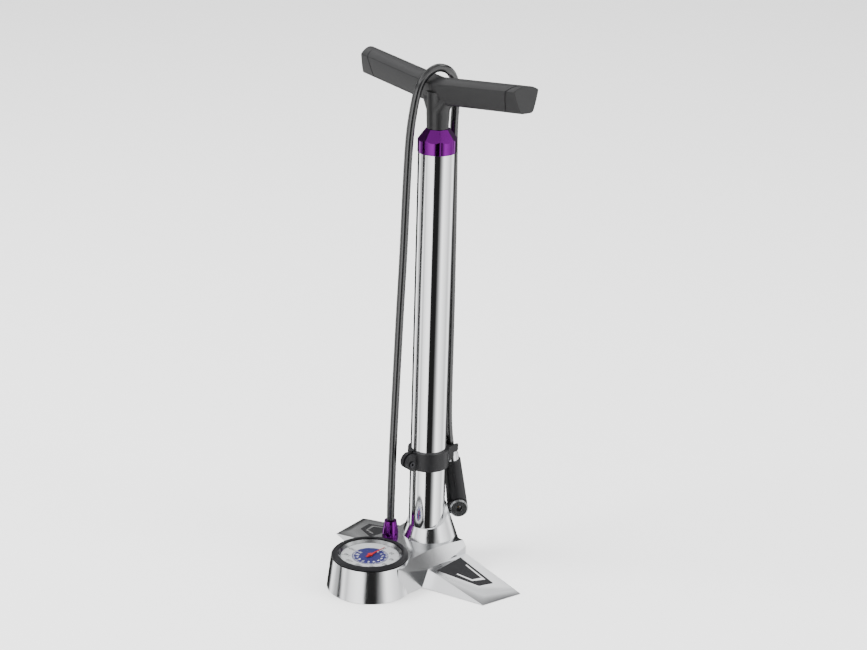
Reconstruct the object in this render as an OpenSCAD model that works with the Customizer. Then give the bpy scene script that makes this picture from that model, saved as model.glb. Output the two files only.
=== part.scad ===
// Floor bike pump: a cast base with a pressure gauge, a tall barrel, a long T handle on a piston
// rod, and a hose that runs up over the handle and down to a screw-on head parked in a clip.
// Origin: on the barrel axis at floor level. +Z up, +X towards the right foot, -Y towards the gauge.

/* [Barrel] */
// Outer diameter of the barrel tube
barrel_d = 46; // [40:0.5:56]
// Wall of the barrel tube
barrel_wall = 2; // [1.5:0.25:3]
// Height of the barrel's top edge above the floor
barrel_top = 562; // [460:2:680]
// Height of the barrel's bottom edge above the floor
barrel_foot = 20; // [16:1:24]

/* [Top cap] */
// Wall of the cap around the barrel's turned-down top
cap_wall = 1.8; // [1.6:0.1:3]
// Height of the cap's straight skirt
cap_skirt = 16.6; // [12:0.2:30]
// Height of the cap's cone above the skirt
cap_cone = 12.2; // [10:0.2:24]
// Number of grooves around the cap, each between two flats of its cone
cap_grooves = 8; // [6:1:12]

/* [Rod and piston] */
// Diameter of the piston rod
rod_d = 12; // [10:0.5:14]
// Bore of the piston rod
rod_bore = 8; // [5:0.5:8]
// Length of the piston
piston_len = 20; // [16:1:30]
// Length of the guide bush in the cap
bush_len = 30; // [20:1:40]

/* [Handle] */
// Length of the handle, end to end, before its arms are tilted
handle_len = 270; // [220:2:320]
// How far each arm rises towards its end, in degrees
handle_rise = 5.5; // [0:0.5:10]
// How far each arm sweeps back towards its end, in degrees
handle_sweep = 3.6; // [0:0.2:8]
// Width of the grip, front to back
grip_w = 31.5; // [28:0.5:36]
// Height of the grip
grip_h = 32.2; // [28:0.2:36]
// Diameter of the handle's neck at its foot
neck_d = 26.6; // [25:0.2:30]
// Length of each end cap of the grip
end_cap_len = 17; // [14:0.5:24]

/* [Base] */
// Distance from the barrel axis to the gauge's centre
pod_reach = 98.9; // [96:0.5:115]
// Height of the gauge pod's rim
pod_h = 42; // [41:0.2:46]
// Diameter of the gauge pod at its rim
pod_top_d = 98.6; // [96:0.2:106]
// Diameter of the gauge pod at the floor
pod_floor_d = 108.4; // [107:0.2:118]
// Height of the plinth between the feet
plinth_h = 40; // [36:0.5:46]
// Half the span of the feet, at the floor
foot_reach = 145.6; // [130:0.5:170]
// Height of the foot's sloping top where it leaves the plinth
foot_root_h = 23.2; // [20:0.2:28]
// Height of the foot's sloping top at its toe
foot_toe_h = 5.6; // [4:0.2:9]
// Height of the collar around the barrel, at the back
collar_h = 82; // [70:1:100]

/* [Gauge] */
// Outer diameter of the black ring around the gauge
ring_d = 96.4; // [94:0.2:98]
// Diameter of the opening in that ring
ring_opening_d = 82; // [78:0.5:84]
// Height of the dial's face above the floor
dial_z = 40; // [38:0.2:41]
// Length of the needle from its pivot to its tip
needle_len = 29; // [24:0.5:32]

/* [Hose and its fittings] */
// Outer diameter of the hose
hose_d = 10; // [8:0.5:11]
// Diameter of the hose collet at its foot
collet_d = 21; // [18:0.5:22]
// Diameter of the hose collet at its top
collet_top_d = 15.6; // [14:0.2:18]
// Height of the hose collet
collet_h = 22; // [18:0.5:22]

/* [Clip] */
// Height of the clip's band, along the barrel
clip_h = 24; // [18:1:30]
// Height of the clip's middle above the floor
clip_z = 149.5; // [146:0.5:152]
// Thickness of the clip's band
clip_t = 3.2; // [2.5:0.1:4.5]

/* [Pump head] */
// Diameter of the rubber sleeve at its top
sleeve_top_d = 22; // [20:0.5:24]
// Diameter of the rubber sleeve at its foot
sleeve_foot_d = 26.6; // [25:0.2:27]
// Diameter of the knurled chuck ring
chuck_d = 24.2; // [22:0.2:26]
// Diameter of the mouth that takes the tyre valve
mouth_d = 8.4; // [8:0.1:9]

/* [Hidden] */

$fn = 64;
e = 0.01;
// clearances: a running fit, a placed fit and an open gap, all on the radius
run = 0.05;
fit = 0.05;
gap = 0.3;

barrel_r = barrel_d / 2;
barrel_bore_r = barrel_r - barrel_wall;
rod_r = rod_d / 2;

// the base's sheet of heights
sole_gap = 0.6;
pad_t = 2.4;
pod_r = pod_top_d / 2;
pod_floor_r = pod_floor_d / 2;
cavity_r = pod_r - 5.3;
cavity_z = 9;
collar_shift = 6;
collar_floor_r = barrel_r + 25.4;
collar_taper = 0.335;
collar_r = function (z) collar_floor_r - collar_taper * z;
scoop_r = 55;
plinth_half = barrel_r + 28;
plinth_back = barrel_r - 1;
waist_r = 175;
waist_y = -32;
waist_half = barrel_r + 14.5;
waist_draft = 0.76;

// the feet: the outline at the floor and the outline of the sloping top, each for the right foot
toe_in = foot_reach - 10.2;
foot_drop = (foot_root_h - foot_toe_h) / (foot_reach - 13 - plinth_half + 1);
foot_top = function (x) foot_root_h - foot_drop * (x - plinth_half + 1);
floor_outline = [
    [plinth_half - 9, -58], [plinth_half - 1.5, -55.6], [toe_in, -32.5],
    [foot_reach, 25.2], [plinth_half - 9, 24]
];
top_outline = [
    [plinth_half - 9, -46.5], [plinth_half + 1, -45.5], [foot_reach - 29.6, -25.5],
    [foot_reach - 21.1, -18.5], [foot_reach - 13, 22], [plinth_half - 9, 21.5]
];
tread_outline = [
    [plinth_half + 3, 9.5], [plinth_half + 7.6, -37.5], [foot_reach - 34.9, -12.7],
    [foot_reach - 29.6, 7.5]
];
tread_depth = 1.6;
tread_lift = 0.5;
tread_side = 0.15;

// inside the barrel
plug_top = barrel_foot + 16;
valve_r = 5;
ball_d = 6;
ball_z = plug_top - 7 - 1.17;
ball_lift = 2;
valve_bore_r = 4;
piston_rest = plug_top + 6;
piston_top = piston_rest + piston_len;
piston_r = barrel_bore_r - 0.3;
o_ring_d = 3.5;
bumper_len = 8;
spigot_r = barrel_r - 1;
spigot_h = 16;
cap_r = spigot_r + cap_wall;
cap_foot = barrel_top - spigot_h + 4.4;
cap_shoulder = cap_foot + cap_skirt;
cap_top = cap_shoulder + cap_cone;
bush_r = barrel_bore_r - fit;
bush_foot = barrel_top - bush_len + 2;
stroke = bush_foot - piston_top - bumper_len - 1;
wiper_h = 3;
wiper_r = rod_r + 3.5;
groove_turn = 9.4;
cap_flat_drop = 2;
cap_flat_top = neck_d / 2 + 0.3;

// the handle
neck_foot = cap_top + gap;
handle_top = cap_top + 62;
grip_mid = handle_top - grip_h / 2;
arm_len = handle_len / 2;
rod_top = handle_top - 16;
end_slant = 20;
end_lean = 20;
// the grip's section: a crowned top with small shoulders, and a narrow flat keel
shoulder_r = 1.65;
shoulder_at = [grip_w / 2 - shoulder_r, grip_h / 2 - 6.2];
shoulder_low = -12;
keel_r = 5;
keel_at = [grip_w / 2 - 11.45, keel_r - grip_h / 2];
keel_high = -21;
rod_foot = piston_rest + 8;
insert_r = rod_r + 2.5;
insert_h = 24;
insert_top = rod_top + 2;

// the gauge
gauge = [0, -pod_reach, 0];
ring_r = ring_d / 2;
ring_in_r = ring_opening_d / 2;
case_r = cavity_r - fit;
case_in_r = case_r - 0.9;
case_floor = cavity_z + fit;
dial_t = 0.8;
dial_r = case_in_r - fit;
bevel_foot_r = ring_in_r - 3;
lens_z = dial_z + 3.4;
lens_t = 1.2;
lens_r = ring_in_r + 1.5;
ring_top = lens_z + lens_t + 1.6;
bevel_r = lens_r - 0.3;
spindle_r = 1;
needle_z = dial_z + 1.4;
needle_t = 0.7;
plate_z = dial_z - 13;
sector_z = plate_z + 3;
bourdon_r = 30;
sector_at = [16, -6];
// where the needle points at rest
zero_turn = 97;

// the hose's way in and its collet
collet_at = [-26, -39];
collet_foot = plinth_h;
hose_r = hose_d / 2;
barb_r = 3.2;
port_r = 4.5;
port_depth = 16;

// the clip and the head
clip_in_r = barrel_r + fit;
clip_r = clip_in_r + clip_t;
ear_out = clip_r + 13;
ear_t = 6;
ear_gap = 3;
ear_turn = -6;
ear_drop = 1.5;
screw_r = 2;
screw_y = -(clip_r + 6.2);
fork_at = [3, barrel_r + 12.8];
fork_half = hose_r + 4.4;
fork_out = 6.2;
fork_top_drop = 3.5;
head_top = [3, barrel_r + 15, 149];
head_lean = 8;
head_lean_way = 60;
mouth_way = -37;
mouth_drop = 79;
mouth_root = head_top + mouth_drop
    * [sin(head_lean) * cos(head_lean_way), sin(head_lean) * sin(head_lean_way), -cos(head_lean)];
body_r = 7;
ferrule_r = 9;
ferrule_h = 18;
chuck_near = body_r + 0.8;
chuck_len = 9.5;
washer_r = 7;
washer_t = 3;
face_t = 4;
thread_r = 8.6;

// the hose's centre line: round points chosen by hand, from the collet over the handle to the head
hose_route = [
    [-26, -39, 62], [-26, -39, 80], [-25, -39.5, 120], [-24, -39.5, 165], [-21, -39.5, 248],
    [-17, -39.5, 347], [-14, -39, 424], [-12, -38.5, 500], [-10, -38, 555], [-9, -36.5, 582],
    [-8, -34, 602], [-7.5, -31, 617], [-7, -27, 630], [-6, -20.5, 640.5], [-5, -11, 648],
    [-4, 0, 651.5], [-3, 11, 650], [-2.5, 21, 644.5], [-2, 28, 634], [-2, 31.5, 619],
    [-2.5, 32, 600], [-3, 31.5, 572], [-2, 31.5, 530], [0, 31.5, 439], [1.5, 31.5, 330],
    [2, 31.5, 235], [2.5, 32, 195], [3, 34, 170], [3, 38, 149]
];
hose_sides = 12;
hose_steps = 3;
head_way = [sin(head_lean) * cos(head_lean_way), sin(head_lean) * sin(head_lean_way), -cos(head_lean)];

// ---------- helpers ----------

module tube(r, r_in, h) {
    difference() {
        cylinder(h = h, r = r, $fn = 96);
        translate([0, 0, -1]) cylinder(h = h + 2, r = r_in, $fn = 96);
    }
}

// a ring of round section
module round_ring(r, d) {
    rotate_extrude($fn = 96) translate([r, 0]) circle(d = d, $fn = 24);
}

// a hexagon socket cut, to be taken out of a screw's head
module hex_socket(across, depth) {
    cylinder(h = depth, r = across / sqrt(3), $fn = 6);
}

// the space of the pump head: its axis runs down along -Z from the ferrule's top
module at_head() {
    translate(head_top) rotate([0, 0, head_lean_way]) rotate([0, -head_lean, 0]) rotate([0, 0, -head_lean_way])
        children();
}

// the space of the chuck: +Z points out of the mouth
module at_mouth() {
    translate(mouth_root) rotate([0, 0, mouth_way]) rotate([0, 90, 0]) children();
}

// ---------- base ----------

// one foot, wide at the plinth and sloping down to its toe
module foot_shape() {
    hull() {
        translate([0, 0, sole_gap]) linear_extrude(e) polygon(floor_outline);
        polyhedron(
            points = concat(
                [for (p = top_outline) [p[0], p[1], foot_top(p[0]) - 1]],
                [for (p = top_outline) [p[0], p[1], foot_top(p[0])]]
            ),
            faces = concat(
                [[for (i = [0 : 5]) i], [for (i = [0 : 5]) 11 - i]],
                [for (i = [0 : 5]) [i, i + 6, (i + 1) % 6 + 6, (i + 1) % 6]]
            )
        );
    }
}

// a slab that follows the foot's sloping top, between two heights above it
module on_foot(low, high) {
    slope = atan(foot_drop);
    translate([plinth_half - 1, 0, foot_root_h]) rotate([0, slope, 0]) translate([0, 0, low])
        linear_extrude(high - low)
            translate([-(plinth_half - 1), 0])
                children();
}

// the waist on the plinth's right side, a leaning hollow between the pod and the foot
module waist_cut() {
    translate([waist_half + waist_r, waist_y, -1])
        cylinder(h = plinth_h + 2, r1 = waist_r - waist_draft * (plinth_h + 1),
            r2 = waist_r + waist_draft, $fn = 192);
}

module plinth_shape() {
    difference() {
        translate([-plinth_half, -pod_reach, sole_gap])
            cube([2 * plinth_half, pod_reach + plinth_back, plinth_h - sole_gap]);
        waist_cut();
        mirror([1, 0, 0]) waist_cut();
    }
}

// the leaning collar that holds the barrel, its top scooped so that it is low at the front
module collar_shape() {
    difference() {
        translate([0, collar_shift, sole_gap])
            cylinder(h = collar_h - sole_gap, r1 = collar_r(sole_gap), r2 = collar_r(collar_h), $fn = 128);
        translate([0, -barrel_r + 1, barrel_r + 34 + scoop_r]) rotate([0, 90, 0])
            translate([0, 0, -80]) cylinder(h = 160, r = scoop_r, $fn = 128);
    }
}

module pod_shape() {
    translate(gauge) translate([0, 0, sole_gap])
        cylinder(h = pod_h - sole_gap, r1 = pod_floor_r, r2 = pod_r, $fn = 128);
}

// places of the screws that hold the barrel's plug to the base
module at_barrel_screws() {
    for (a = [90, 210, 330]) rotate([0, 0, a]) translate([13, 0, 0]) children();
}

module base_casting() {
    color([0.8, 0.81, 0.82]) difference() {
        union() {
            pod_shape();
            plinth_shape();
            collar_shape();
            foot_shape();
            mirror([1, 0, 0]) foot_shape();
        }
        // socket for the barrel, and the room in its floor for the plug's screws
        translate([0, 0, barrel_foot - fit]) cylinder(h = 200, r = barrel_r + fit, $fn = 96);
        at_barrel_screws() {
            translate([0, 0, -1]) cylinder(h = barrel_foot + 2, r = 2.2, $fn = 24);
            translate([0, 0, -1]) cylinder(h = 8, r = 4.2, $fn = 32);
        }
        // the gauge's cavity and the foot of its socket
        translate(gauge) {
            translate([0, 0, cavity_z]) cylinder(h = 60, r = cavity_r, $fn = 128);
            translate([0, 0, cavity_z - 4]) cylinder(h = 10, r = 4.05, $fn = 32);
        }
        // airway from the check valve to the gauge, and its branch up to the hose
        translate([0, 0, 6.5]) rotate([90, 0, 0]) cylinder(h = pod_reach, r = 1.6, $fn = 24);
        translate([0, 0, 5]) cylinder(h = barrel_foot, r = 2, $fn = 24);
        translate([collet_at[0], collet_at[1], 6.5]) rotate([0, 90, 0])
            cylinder(h = -collet_at[0], r = 1.6, $fn = 24);
        translate([collet_at[0], collet_at[1], 6.5]) cylinder(h = 40, r = 1.6, $fn = 24);
        translate([collet_at[0], collet_at[1], collet_foot - port_depth])
            cylinder(h = 40, r = port_r, $fn = 48);
        // beds of the tread pads
        on_foot(-tread_depth, 10) polygon(tread_outline);
        mirror([1, 0, 0]) on_foot(-tread_depth, 10) polygon(tread_outline);
        // beds of the rubber floor pads
        at_floor_pads() translate([0, 0, -1]) cylinder(h = pad_t + 1, r = 9 + fit, $fn = 48);
        floor_ring_bed();
    }
}

module at_floor_pads() {
    translate([0, -pod_reach - 38, 0]) children();
    for (s = [-1, 1]) translate([s * (foot_reach - 42), -6, 0]) children();
}

module floor_ring_bed() {
    translate([0, 12, -1]) cylinder(h = pad_t + 1, r = 27 + fit, $fn = 64);
}

module floor_pad(at) {
    color([0.07, 0.07, 0.07]) translate(at) cylinder(h = pad_t - fit, r = 9, $fn = 48);
}

module floor_pad_front() { floor_pad([0, -pod_reach - 38, 0]); }
module floor_pad_left() { floor_pad([-(foot_reach - 42), -6, 0]); }
module floor_pad_right() { floor_pad([foot_reach - 42, -6, 0]); }

// the wide pad under the barrel, with windows for the plug's screws
module floor_pad_centre() {
    color([0.07, 0.07, 0.07]) difference() {
        translate([0, 12, 0]) cylinder(h = pad_t - fit, r = 27, $fn = 64);
        at_barrel_screws() translate([0, 0, -1]) cylinder(h = 10, r = 4.4, $fn = 32);
    }
}

// a tread pad's outline drawn in on all sides
module tread_shape(inset) {
    offset(delta = -inset) polygon(tread_outline);
}

// the arrow-shaped strip let into each tread pad, near its outer end
module inlay_shape(grow) {
    tip_x = foot_reach - 41.5;
    half = 1.5 + grow;
    polygon([
        [tip_x + half, 3.4 + grow], [tip_x - 5 + grow, -14 - grow], [tip_x - 26, -21.8 - 1.2 * grow],
        [tip_x - 26, -19.4 + 1.2 * grow], [tip_x - 7.4 - grow, -12 + grow],
        [tip_x - 2.4 - half, 1.2 - grow], [tip_x - 34, 2.4 - grow], [tip_x - 34, 4.6 + grow]
    ]);
}

module tread_pad_right() {
    color([0.1, 0.1, 0.1]) difference() {
        on_foot(-tread_depth + fit, tread_lift) tread_shape(tread_side);
        on_foot(tread_lift - 0.8, 10) inlay_shape(0.05);
    }
}

module tread_pad_left() {
    mirror([1, 0, 0]) tread_pad_right();
}

module tread_inlay_right() {
    color([0.85, 0.86, 0.87]) on_foot(tread_lift - 0.8 + fit, tread_lift + 0.2) inlay_shape(0);
}

module tread_inlay_left() {
    mirror([1, 0, 0]) tread_inlay_right();
}

// ---------- barrel and check valve ----------

// the barrel tube, with the plug that closes its foot and carries the check valve
module barrel() {
    color([0.82, 0.83, 0.84]) difference() {
        translate([0, 0, barrel_foot]) cylinder(h = barrel_top - barrel_foot, r = barrel_r, $fn = 128);
        translate([0, 0, plug_top]) cylinder(h = barrel_top, r = barrel_bore_r, $fn = 128);
        // turned-down top that the cap is screwed on
        translate([0, 0, barrel_top - spigot_h]) tube(barrel_r + 5, spigot_r, spigot_h + 1);
        // valve pocket, its throat and the screws' blind holes
        translate([0, 0, barrel_foot - 1]) cylinder(h = 40, r = valve_bore_r, $fn = 48);
        translate([0, 0, barrel_foot - 1]) cylinder(h = 12, r = valve_r + 1, $fn = 48);
        at_barrel_screws() translate([0, 0, barrel_foot - 1]) cylinder(h = 9, r = 1.8, $fn = 24);
        translate([0, 0, barrel_foot + 8]) rotate_extrude($fn = 96)
            translate([barrel_r - 1.6, -1.6]) square([3, 3.2]);
    }
}

// seal between the barrel's foot and the base's socket
module barrel_o_ring() {
    color([0.05, 0.05, 0.05]) translate([0, 0, barrel_foot + 8])
        tube(barrel_r - fit, barrel_r - 1.5, 1.4);
}

module barrel_screws() {
    color([0.6, 0.6, 0.62]) at_barrel_screws() difference() {
        union() {
            translate([0, 0, 2.95]) cylinder(h = 4, r = 3.8, $fn = 32);
            translate([0, 0, 6.9]) cylinder(h = barrel_foot, r = 1.75, $fn = 24);
        }
        translate([0, 0, 3]) hex_socket(3, 2);
    }
}

// brass seat with the throat that the ball closes
module valve_seat() {
    color([0.78, 0.62, 0.3]) difference() {
        translate([0, 0, plug_top - 7]) cylinder(h = 4, r = valve_bore_r - fit, $fn = 48);
        translate([0, 0, plug_top - 8]) cylinder(h = 8, r = 2, $fn = 32);
        translate([0, 0, plug_top - 7 + e - 0.02]) cylinder(h = 1.2, r1 = 3, r2 = 2, $fn = 48);
    }
}

// the ball hangs under the seat and is pushed down, away from it, by each stroke of air
module valve_ball() {
    color([0.15, 0.15, 0.15]) translate([0, 0, ball_z]) sphere(d = ball_d, $fn = 32);
}

module valve_spring() {
    low = barrel_foot + 1.1;
    high = ball_z - 2.56;
    color([0.7, 0.7, 0.72]) for (k = [0 : 4])
        translate([0, 0, low + k * (high - low) / 4]) round_ring(2.1, 0.5);
}

// the perforated cup that carries the spring
module valve_cage() {
    color([0.78, 0.62, 0.3]) difference() {
        translate([0, 0, barrel_foot + fit])
            cylinder(h = plug_top - 7 - 0.1 - barrel_foot - fit, r = valve_r + 1 - fit, $fn = 48);
        translate([0, 0, barrel_foot + 0.8]) cylinder(h = 20, r = 3.4, $fn = 48);
        for (a = [0 : 90 : 270]) rotate([0, 0, a]) translate([2.6, 0, barrel_foot - 1])
            cylinder(h = 4, r = 0.7, $fn = 16);
    }
}

// ---------- cap, rod and piston ----------

// the cap's outside: a round skirt under a cone of flats, which cut the skirt in a wavy edge
module cap_shape() {
    flat_foot = cap_shoulder - cap_flat_drop;
    across = cos(180 / cap_grooves);
    intersection() {
        translate([0, 0, cap_foot]) cylinder(h = cap_top - cap_foot, r = cap_r, $fn = 96);
        union() {
            translate([0, 0, cap_foot - 1]) cylinder(h = flat_foot - cap_foot + 1, r = cap_r + 5, $fn = 96);
            rotate([0, 0, groove_turn]) translate([0, 0, flat_foot])
                cylinder(h = cap_top - flat_foot, r1 = cap_r / across, r2 = cap_flat_top / across, $fn = cap_grooves);
        }
    }
}

module top_cap() {
    color([0.45, 0.14, 0.55]) difference() {
        cap_shape();
        // bore over the barrel's top, then the room for the bush and the wiper
        translate([0, 0, cap_foot - 1]) cylinder(h = barrel_top - cap_foot + 1, r = spigot_r + fit, $fn = 96);
        translate([0, 0, barrel_top - 1]) cylinder(h = 3, r = bush_r + fit, $fn = 96);
        cylinder(h = 2 * cap_top, r = rod_r + gap, $fn = 64);
        translate([0, 0, cap_top - wiper_h]) cylinder(h = 10, r = wiper_r + fit, $fn = 64);
        for (k = [0 : cap_grooves - 1]) rotate([0, 0, groove_turn + k * 360 / cap_grooves])
            translate([cap_r + 0.3, 0, cap_foot - 1]) cylinder(h = cap_skirt + 3, r = 0.9, $fn = 24);
    }
}

module rod_bush() {
    color([0.9, 0.9, 0.87]) difference() {
        translate([0, 0, bush_foot]) cylinder(h = bush_len, r = bush_r, $fn = 96);
        cylinder(h = 2 * cap_top, r = rod_r + run, $fn = 64);
        for (a = [0 : 60 : 300]) rotate([0, 0, a]) translate([(rod_r + bush_r) / 2, 0, bush_foot - 1])
            cylinder(h = bush_len - 6, r = 3.4, $fn = 24);
    }
}

module rod_wiper() {
    color([0.06, 0.06, 0.06]) translate([0, 0, cap_top - wiper_h])
        tube(wiper_r, rod_r + run, wiper_h - 0.1);
}

module piston_rod() {
    color([0.75, 0.76, 0.78]) translate([0, 0, rod_foot]) difference() {
        cylinder(h = rod_top - rod_foot, r = rod_r, $fn = 64);
        translate([0, 0, -1]) cylinder(h = 2000, r = rod_bore / 2, $fn = 48);
    }
}

module piston() {
    color([0.25, 0.25, 0.27]) difference() {
        translate([0, 0, piston_rest]) cylinder(h = piston_len, r = piston_r, $fn = 96);
        // seat of the rod, hole of the bolt and groove of the ring
        translate([0, 0, rod_foot]) cylinder(h = 100, r = rod_r + fit, $fn = 64);
        translate([0, 0, piston_rest - 1]) cylinder(h = 20, r = 3.05, $fn = 32);
        translate([0, 0, piston_rest - 1]) cylinder(h = 5, r = 6, $fn = 48);
        translate([0, 0, piston_rest + piston_len / 2 - 2]) tube(piston_r + 5, piston_r - 3.4, 4);
        for (a = [30 : 60 : 330]) rotate([0, 0, a]) translate([(rod_r + piston_r - 3) / 2, 0, piston_rest + 14])
            cylinder(h = 20, r = 2.4, $fn = 24);
    }
}

// the ring that seals the piston in the barrel
module piston_o_ring() {
    color([0.05, 0.05, 0.05]) translate([0, 0, piston_rest + piston_len / 2 - 1.75])
        tube(barrel_bore_r - run, barrel_bore_r - 3.4, 3.5);
}

module piston_bolt() {
    color([0.55, 0.55, 0.57]) difference() {
        union() {
            translate([0, 0, piston_rest]) cylinder(h = 3.95, r = 5.5, $fn = 48);
            translate([0, 0, piston_rest + 3.9]) cylinder(h = 4.2, r = 3, $fn = 32);
            translate([0, 0, rod_foot]) cylinder(h = 14, r = rod_bore / 2 - fit, $fn = 32);
        }
        translate([0, 0, piston_rest - e]) hex_socket(5, 3);
    }
}

module rod_bumper() {
    color([0.08, 0.08, 0.08]) translate([0, 0, piston_top + 0.1])
        tube(rod_r + 5, rod_r + fit, bumper_len - 0.1);
}

// ---------- handle ----------

function on_arc(at, r, a) = [at[0] + r * cos(a), at[1] + r * sin(a)];
// where two lines cross, each given by a point and its direction in degrees
function crossing(p, a, q, b) =
    let (d = q - p, t = (d[0] * sin(b) - d[1] * cos(b)) / sin(b - a)) [p[0] + t * cos(a), p[1] + t * sin(a)];
crown_drop = grip_h / 2 - shoulder_at[1];
crown_r = (pow(shoulder_at[0], 2) + pow(crown_drop, 2) - pow(shoulder_r, 2)) / (2 * (crown_drop - shoulder_r));
crown_from = atan2(shoulder_at[1] - grip_h / 2 + crown_r, shoulder_at[0]);
side_low = on_arc(keel_at, keel_r, keel_high);
side_high = on_arc(shoulder_at, shoulder_r, shoulder_low);
side_mid = crossing(side_low, keel_high + 90, side_high, shoulder_low + 90);
function side_point(t) = (1 - t) * (1 - t) * side_low + 2 * t * (1 - t) * side_mid + t * t * side_high;
half_section = concat(
    [for (k = [0 : 6]) on_arc(keel_at, keel_r, -90 + k * (keel_high + 90) / 6)],
    [for (k = [1 : 5]) side_point(k / 6)],
    [for (k = [0 : 5]) on_arc(shoulder_at, shoulder_r, shoulder_low + k * (crown_from - shoulder_low) / 5)],
    [for (k = [1 : 9]) on_arc([0, grip_h / 2 - crown_r], crown_r, crown_from + k * (90 - crown_from) / 9)]
);
grip_section = concat(
    half_section,
    [for (k = [len(half_section) - 2 : -1 : 0]) [-half_section[k][0], half_section[k][1]]]
);

// all that lies beyond a slanting cut across the arm
module beyond(at, lean) {
    translate([at, 0, 0]) rotate([0, lean, -end_slant]) translate([0, -100, -100]) cube([400, 200, 200]);
}

module in_arm() {
    translate([0, 0, grip_mid]) rotate([0, -handle_rise, handle_sweep]) children();
}

module arm_prism(from, to) {
    translate([from, 0, 0]) rotate([90, 0, 90]) linear_extrude(to - from) polygon(grip_section);
}

module arm() {
    in_arm() difference() {
        arm_prism(-2, arm_len);
        beyond(arm_len - end_cap_len - 0.1, end_lean);
    }
}

// the neck, and the fillet-like spread where it meets the arms
module neck_solid() {
    translate([0, 0, neck_foot]) cylinder(h = grip_mid - neck_foot, r1 = neck_d / 2, r2 = neck_d / 2 + 2, $fn = 64);
    hull() {
        translate([0, 0, neck_foot + 22]) cylinder(h = 1, r = neck_d / 2 + 0.9, $fn = 32);
        translate([-20, 0, grip_mid - 4]) rotate([0, 90, 0]) cylinder(h = 40, r = 9, $fn = 32);
    }
}

module handle_grip() {
    color([0.09, 0.09, 0.1]) difference() {
        union() {
            arm();
            mirror([1, 0, 0]) arm();
            neck_solid();
        }
        cylinder(h = insert_top + fit, r = insert_r + fit, $fn = 64);
    }
}

// brass thread moulded into the handle, screwed on the rod's top
module handle_insert() {
    color([0.78, 0.62, 0.3]) translate([0, 0, insert_top - insert_h]) difference() {
        cylinder(h = insert_h, r = insert_r, $fn = 64);
        translate([0, 0, -1]) cylinder(h = rod_top - insert_top + insert_h + 1, r = rod_r + fit, $fn = 64);
    }
}

module end_cap_right() {
    color([0.08, 0.08, 0.09]) in_arm() difference() {
        intersection() {
            arm_prism(0, arm_len + 20);
            beyond(arm_len - end_cap_len + 0.1, end_lean);
        }
        beyond(arm_len, 0);
    }
}

module end_cap_left() {
    mirror([1, 0, 0]) end_cap_right();
}

// ---------- gauge ----------

module gauge_case() {
    color([0.6, 0.61, 0.62]) translate(gauge) difference() {
        translate([0, 0, case_floor]) cylinder(h = pod_h - case_floor, r = case_r, $fn = 128);
        translate([0, 0, dial_z - dial_t - fit]) cylinder(h = 40, r = case_in_r, $fn = 128);
        translate([0, 0, case_floor + 1]) cylinder(h = 60, r = case_in_r - 1.6, $fn = 128);
        cylinder(h = 60, r = 4.05, $fn = 32);
    }
}

// brass block that feeds the tube, screwed through the case into the base
module gauge_socket() {
    color([0.78, 0.62, 0.3]) translate(gauge) difference() {
        union() {
            translate([0, 0, cavity_z - 3.9]) cylinder(h = 8, r = 4, $fn = 32);
            translate([-6, -6, case_floor + 1.05]) cube([12, 12, 5]);
            translate([-5, -bourdon_r - 5.9, case_floor + 1.05]) cube([10, bourdon_r, 5]);
            translate([-5, -bourdon_r - 5.9, case_floor + 1.05]) cube([10, 8, 9]);
        }
        cylinder(h = case_floor + 4, r = 1.5, $fn = 24);
        translate([0, 0, 6.5]) rotate([-90, 0, 0]) cylinder(h = 10, r = 1.5, $fn = 24);
    }
}

// the flattened tube that uncurls with pressure
module bourdon_tube() {
    color([0.75, 0.58, 0.28]) translate(gauge) translate([0, 0, case_floor + 9]) rotate([0, 0, -79])
        rotate_extrude(angle = 250, $fn = 96) translate([bourdon_r - 1.6, -3]) square([3.2, 6]);
}

// two brass plates on pillars, which carry the spindle and the sector
module gauge_movement() {
    color([0.78, 0.62, 0.3]) translate(gauge) difference() {
        union() {
            translate([-8, -12, plate_z]) cube([31, 24, 1.2]);
            translate([-8, -12, plate_z + 7]) cube([31, 24, 1.2]);
            for (p = [[-5.5, -9], [-5.5, 9], [20.5, 9.5]])
                translate([p[0], p[1], case_floor + 6.05])
                    cylinder(h = plate_z + 7.6 - case_floor - 6.05, r = 1.8, $fn = 24);
        }
        translate([0, 0, plate_z - 1]) cylinder(h = 20, r = spindle_r + run, $fn = 32);
        translate([sector_at[0], sector_at[1], plate_z - 1]) cylinder(h = 20, r = 1 + run, $fn = 32);
    }
}

// the toothed arm that the tube pulls round; its rim runs beside the spindle's pinion
module gauge_sector() {
    reach = norm(sector_at) - 2.4;
    way = atan2(-sector_at[1], -sector_at[0]);
    color([0.7, 0.55, 0.28]) translate(gauge) translate([sector_at[0], sector_at[1], 0]) {
        translate([0, 0, plate_z + 0.2]) cylinder(h = 8.4, r = 1, $fn = 32);
        difference() {
            translate([0, 0, sector_z]) cylinder(h = 1, r = reach, $fn = 96);
            for (k = [0, 1]) rotate([0, 0, way + (k == 0 ? 8 : -56 - 180)])
                translate([-40, 0, sector_z - 1]) cube([80, 40, 3]);
        }
        translate([0, 0, sector_z - 0.6]) cylinder(h = 2.2, r = 2.2, $fn = 32);
    }
}

module gauge_spindle() {
    color([0.7, 0.55, 0.28]) translate(gauge) {
        translate([0, 0, plate_z - 0.5]) cylinder(h = needle_z + 1.2 - plate_z, r = spindle_r, $fn = 32);
        translate([0, 0, sector_z - 0.5]) cylinder(h = 2, r = 1.9, $fn = 32);
    }
}

module gauge_dial() {
    color([0.86, 0.87, 0.88]) translate(gauge) difference() {
        translate([0, 0, dial_z - dial_t]) cylinder(h = dial_t, r = dial_r, $fn = 128);
        cylinder(h = 60, r = spindle_r + gap, $fn = 32);
    }
}

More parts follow.
